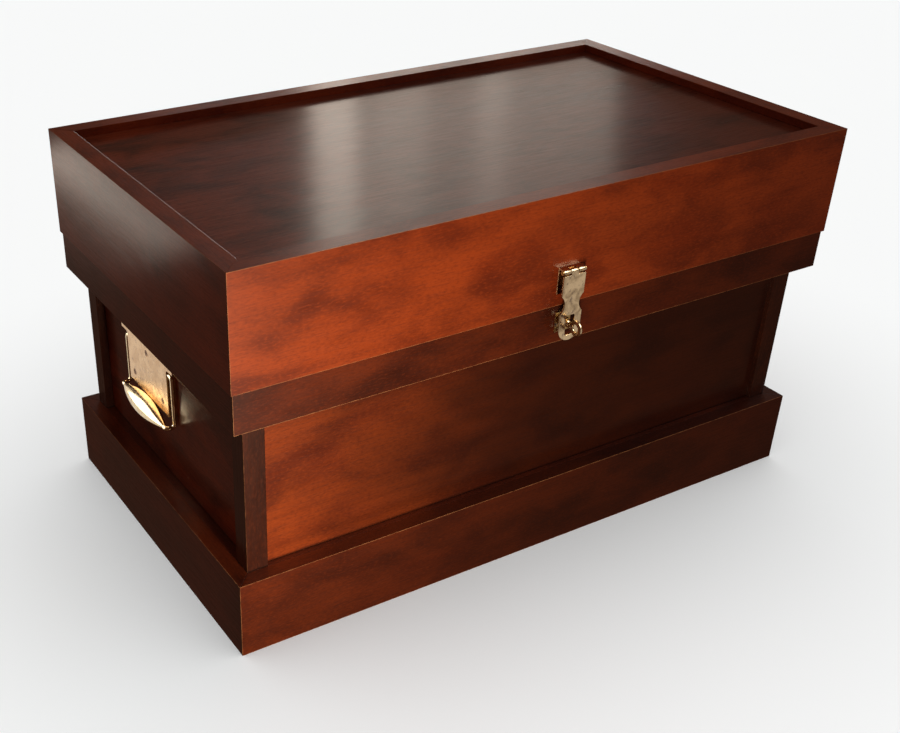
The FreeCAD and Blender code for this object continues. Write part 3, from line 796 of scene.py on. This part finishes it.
@dataclass
class DropHandles:
    """The handle on each end: a T-shaped plate and a bail with a swollen grip."""

    rod_mm: float = 2.2
    pin_mm: float = 1.8
    pin_depth_mm: float = 8.0
    clear_mm: float = 0.3
    shoulder_mm: float = 14.5
    grip_mm: float = 10.5
    grip_end_mm: float = 2.4
    grip_gap_mm: float = 7.0
    overlap_mm: float = 2.0
    lip_mm: float = 3.6
    lip_half_thick_mm: float = 1.2
    bend_mm: float = 4.0
    plate_arris_mm: float = 0.6
    steps: int = 22

    def _bow(self, half: float, swell: float) -> list[tuple[float, float]]:
        """Give the lens profile of the grip.

        Args:
            half: half the grip's length in metres.
            swell: its radius at the middle.

        Returns:
            (distance from the middle, radius) pairs from end to end.
        """
        end = self.grip_end_mm * MM
        rise = swell - end
        sweep = (half ** 2 + rise ** 2) / (2 * rise)
        spots = [half * math.sin(math.pi * (i / self.steps - 0.5)) for i in range(self.steps + 1)]
        return [(y, math.sqrt(sweep ** 2 - y ** 2) - sweep + swell) for y in spots]

    def _arm(self, pivot: Vector, grip_middle: Vector, reach: float) -> bpy.types.Object:
        """Model one arm of the left bail, with the pin that turns in the plate.

        Args:
            pivot: the middle of the bail's axis.
            grip_middle: the middle of the grip.
            reach: how far the arm stands from the middle.

        Returns:
            The arm as one closed shape.
        """
        low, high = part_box("left_handle_plate")
        neck = (high.y - low.y) / 2 - self.shoulder_mm * MM
        arm_y = pivot.y + reach
        pin, clear = self.pin_mm * MM, self.clear_mm * MM
        route = [Vector((pivot.x, pivot.y + neck + clear, pivot.z)),
                 Vector((pivot.x, arm_y, pivot.z)),
                 Vector((pivot.x, arm_y, grip_middle.z)),
                 Vector((grip_middle.x, arm_y, grip_middle.z)),
                 Vector((grip_middle.x, arm_y - (self.grip_gap_mm + self.overlap_mm) * MM, grip_middle.z))]
        bar = bent_bar("bail_arm", route, self.rod_mm * MM, self.bend_mm * MM)
        depth = self.pin_depth_mm * MM
        start = Vector((pivot.x, pivot.y + neck - depth, pivot.z))
        peg = turned("bail_pin", start, Vector((0, 1, 0)),
                     [(0.0, 0.85 * pin), (clear, pin), (depth + 4 * clear, pin)], 24)
        return weld_on(bar, [peg])

    def _lip(self, middle: Vector, half: float, reach: float) -> bpy.types.Object:
        """Model the thin lip that hangs along the underside of the grip.

        Args:
            middle: the middle of the grip.
            half: half the grip's length.
            reach: how far down the lip goes.

        Returns:
            The lip as a closed shape.
        """
        blade = turned("bail_lip", middle, Vector((0, 1, 0)), self._bow(half, reach))
        only(blade)
        bpy.ops.object.mode_set(mode="EDIT")
        bpy.ops.mesh.select_all(action="SELECT")
        thin = self.lip_half_thick_mm * MM / reach
        bpy.ops.transform.resize(value=(thin, 1, 1), center_override=middle)
        bpy.ops.mesh.select_all(action="SELECT")
        bpy.ops.mesh.bisect(plane_co=middle, plane_no=(0, 0, 1), use_fill=True, clear_outer=True)
        return close_piece("bail_lip")

    def _bail(self) -> bpy.types.Object:
        """Model the left bail: a grip, its lip and one arm with its mirrored copy.

        Returns:
            The bail as one closed piece.
        """
        low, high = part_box("left_bail")
        pivot = joint_centre("left_bail_swing")
        grip, lip = self.grip_mm * MM, self.lip_mm * MM
        middle = Vector((low.x + grip, pivot.y, low.z + grip + lip))
        reach = (high.y - low.y) / 2 - self.rod_mm * MM
        half = reach - self.grip_gap_mm * MM
        bail = turned("left_bail_cast", middle, Vector((0, 1, 0)), self._bow(half, grip))
        arm = self._arm(pivot, middle, reach)
        far_arm = mirrored(arm, "bail_far_arm", 1, pivot)
        weld_on(bail, [self._lip(middle, half, grip + lip), arm, far_arm])
        polish(bail)
        return bail

    def build(self) -> None:
        """Model one bail, copy it to the other end, and dress plates and screws."""
        left = self._bail()
        right = mirrored(left, "right_bail_cast", 0, Vector((0, 0, 0)))
        cast = AgedBrass("bail brass", Way.DEEP, bright="#F2DCB0", tarnish="#B08E60",
                         tarnish_share=0.35, smooth=0.13, dull=0.27).build()
        plate = AgedBrass("handle plate brass", Way.UP, bright="#E2BC8A", tarnish="#A88058",
                          tarnish_share=0.4, smooth=0.22, dull=0.36).build()
        # Painted shade: the handle screws are darkened to stand in for the shadow round their heads.
        screw = AgedBrass("handle screw brass with painted shade", Way.UP, bright="#8A6440", tarnish="#4A3220",
                          tarnish_share=0.8, smooth=0.3, dull=0.5).build()
        for side, bail in (("left", left), ("right", right)):
            dress(bail, cast)
            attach(bail, side + "_bail")
            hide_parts(side + "_bail")
            dress(ease(side + "_handle_plate", self.plate_arris_mm), plate)
            dress(frame["nodes"][side + "_handle_screws"], screw)
            log.info("%s drop handle", side)


# ------------------------------------------------------------------ studio
class Lit(Enum):
    """What a lamp shines on."""

    FLOOR = "floor"
    WOOD = "wood"
    BRASS = "brass"


@dataclass(frozen=True)
class Softbox:
    """One soft studio lamp: its size, where it points and what it shines on."""

    name: str
    place: tuple[float, float, float]
    aim: tuple[float, float, float]
    wide: float
    tall: float
    radiance: float
    on: Lit = Lit.WOOD
    tint: str = "#FFFFFF"
    roll_deg: float = 0.0

    def hang(self, receivers: dict[Lit, bpy.types.Collection]) -> None:
        """Put the lamp in the scene.

        Args:
            receivers: the pieces of each finish.
        """
        data = bpy.data.lights.new(self.name, "AREA")
        data.shape = "RECTANGLE"
        data.size, data.size_y = self.wide, self.tall
        data.energy = self.radiance * math.pi * self.wide * self.tall
        data.color = shade(self.tint)[:3]
        lamp = bpy.data.objects.new(self.name, data)
        lamp.location = self.place
        facing = (Vector(self.aim) - Vector(self.place)).to_track_quat("-Z", "Y")
        roll = Quaternion((0, 0, 1), math.radians(self.roll_deg))
        lamp.rotation_euler = (facing @ roll).to_euler()
        lamp.visible_camera = False
        lamp.light_linking.receiver_collection = receivers[self.on]
        bpy.context.collection.objects.link(lamp)


@dataclass
class Studio:
    """The pale floor, the even surroundings and the lamps."""

    floor_half: float = 9.0
    floor_light: float = 3.15
    lamps: list[Softbox] = field(default_factory=lambda: [
        Softbox("key", (-0.33, -0.66, 0.2), (-0.33, -0.19, 0.2), 0.1, 0.38, 27.0, tint="#FFEACF"),
        Softbox("overhead", (0.0, -0.2, 2.4), (0.0, 0.0, 0.0), 2.0, 2.0, 0.5),
        Softbox("windows", (2.32, 3.0, 1.55), (2.32, 0.0, 1.2), 1.5, 1.3, 0.66, tint=DAYLIGHT_TINT),
        Softbox("window_left", (1.62, 2.95, 1.6), (1.62, 0.0, 1.3), 0.2, 1.4, 1.5, tint=DAYLIGHT_TINT),
        Softbox("window_mid", (1.92, 2.95, 1.5), (1.92, 0.0, 1.3), 0.24, 1.1, 0.4, tint=DAYLIGHT_TINT),
        Softbox("window_right", (2.36, 2.95, 1.5), (2.36, 0.0, 1.3), 0.14, 1.2, 0.45, tint=DAYLIGHT_TINT),
        Softbox("left_sheen", (-0.57, 0.6, 0.15), (-0.57, 0.0, 0.15), 0.26, 0.05, 1.9,
                tint=DAYLIGHT_TINT, roll_deg=-46.0),
        Softbox("back_fill", (1.4, 2.2, 0.4), (0.1, 0.2, 0.2), 1.6, 0.6, 3.2),
        Softbox("right_fill", (2.2, -0.3, 0.9), (0.35, 0.0, 0.2), 1.4, 1.2, 0.9),
        Softbox("brass_front", (0.3, -0.75, 0.02), (0.0, -0.2, 0.28), 0.9, 0.6, 0.5, Lit.BRASS),
        Softbox("brass_above", (0.6, -1.0, 1.3), (0.0, -0.2, 0.3), 1.0, 1.0, 6.0, Lit.BRASS),
        Softbox("brass_left", (-0.75, 0.6, 0.02), (-0.34, 0.05, 0.2), 0.9, 0.9, 0.75, Lit.BRASS),
        Softbox("brass_side", (-1.3, 0.9, 0.75), (-0.34, 0.05, 0.2), 1.6, 1.5, 3.8, Lit.BRASS),
        Softbox("brass_right", (1.6, 0.4, 0.8), (0.34, 0.05, 0.2), 0.9, 0.9, 2.0, Lit.BRASS),
        Softbox("brass_back", (0.2, 1.7, 0.9), (0.0, 0.2, 0.3), 1.0, 0.8, 1.6, Lit.BRASS),
    ])

    @staticmethod
    def sort_pieces(floor: bpy.types.Object) -> dict[Lit, bpy.types.Collection]:
        """Sort the floor and every piece by its finish.

        Args:
            floor: the studio floor.

        Returns:
            One collection for each finish.
        """
        sorted_by = {kind: bpy.data.collections.new("lit %s" % kind.value) for kind in Lit}
        sorted_by[Lit.FLOOR].objects.link(floor)
        for piece in bpy.data.objects:
            if piece.type == "MESH" and piece is not floor and piece.material_slots:
                metal = "brass" in piece.material_slots[0].material.name
                sorted_by[Lit.BRASS if metal else Lit.WOOD].objects.link(piece)
        return sorted_by

    def build(self) -> None:
        """Lay the floor, light the surroundings and hang the lamps."""
        bpy.ops.object.select_all(action="DESELECT")
        bpy.ops.mesh.primitive_plane_add(size=2 * self.floor_half, location=(0, 0, -0.0002))
        floor = bpy.context.object
        floor.name = "studio_floor"
        bpy.ops.object.transform_apply(location=True, rotation=True, scale=True)
        floor.visible_glossy = floor.visible_diffuse = False
        made = bpy.data.materials.new("pale floor")
        made.use_nodes = True
        surface = made.node_tree.nodes["Principled BSDF"]
        surface.inputs["Base Color"].default_value = shade("#F0F5F6")
        surface.inputs["Roughness"].default_value = 0.9
        surface.inputs["Specular IOR Level"].default_value = 0.0
        dress(floor, made)

        receivers = self.sort_pieces(floor)
        daylight = bpy.data.lights.new("floor_daylight", "SUN")
        daylight.energy, daylight.angle = self.floor_light, math.radians(100)
        sun = bpy.data.objects.new("floor_daylight", daylight)
        sun.light_linking.receiver_collection = receivers[Lit.FLOOR]
        bpy.context.collection.objects.link(sun)
        for lamp in self.lamps:
            lamp.hang(receivers)

        world = bpy.data.worlds.new("studio air")
        bpy.context.scene.world = world
        world.use_nodes = True
        tree = world.node_tree
        tree.nodes.clear()
        seen = lay(tree, "ShaderNodeLightPath", {}, {}, 0)
        backdrop = lay(tree, "ShaderNodeBackground", {}, {"Color": shade("#F7F7F7"), "Strength": 1.0})
        fill = lay(tree, "ShaderNodeBackground", {}, {"Color": shade("#FFB494"), "Strength": 0.075})
        air = lay(tree, "ShaderNodeMixShader", {}, {0: seen, 1: fill, 2: backdrop})
        lay(tree, "ShaderNodeOutputWorld", {}, {"Surface": air})
        log.info("studio with %d lamps", len(self.lamps) + 1)


@dataclass(frozen=True)
class Viewpoint:
    """The camera, standing ahead of the left front corner and looking down at the chest."""

    place: tuple[float, float, float] = (-0.7441, -1.0066, 0.8108)
    ahead: tuple[float, float, float] = (0.42553, 0.73084, -0.53366)
    right: tuple[float, float, float] = (0.86488, -0.50198, 0.00218)
    lens_mm: float = 50.03
    shift_across: float = 0.1444
    shift_up: float = 0.0846

    def set_up(self) -> None:
        """Make the camera and look through it."""
        data = bpy.data.cameras.new("viewpoint")
        data.lens, data.sensor_width, data.sensor_fit = self.lens_mm, 36.0, "HORIZONTAL"
        data.shift_x, data.shift_y = self.shift_across, self.shift_up
        data.clip_start, data.clip_end = 0.01, 100.0
        camera = bpy.data.objects.new("viewpoint", data)
        back = -Vector(self.ahead).normalized()
        across = Vector(self.right).normalized()
        turn = Matrix((across, back.cross(across), back)).transposed()
        camera.matrix_world = Matrix.Translation(self.place) @ turn.to_4x4()
        bpy.context.collection.objects.link(camera)
        bpy.context.scene.camera = camera
        log.info("viewpoint set")


def main() -> None:
    """Build and dress the chest from the floor up, then the studio round it."""
    bpy.context.scene.view_settings.view_transform = "Standard"
    Viewpoint().set_up()
    # Painted shade darkens the right ends of the plinth and the collar; their pale arrises are worn wood
    # and a painted highlight.
    MitredBand.trim("plinth", arris_wear_and_highlight=0.7, painted_shade=0.6).dress()
    MitredBand.trim("collar", arris_wear_and_highlight=0.75, painted_shade=0.3).dress()
    Carcase().dress()
    BoxLid().dress()
    ButtHinges().dress()
    Hasp().dress()
    TurningStaple().build()
    DropHandles().build()
    Studio().build()


if __name__ == "__main__":
    main()
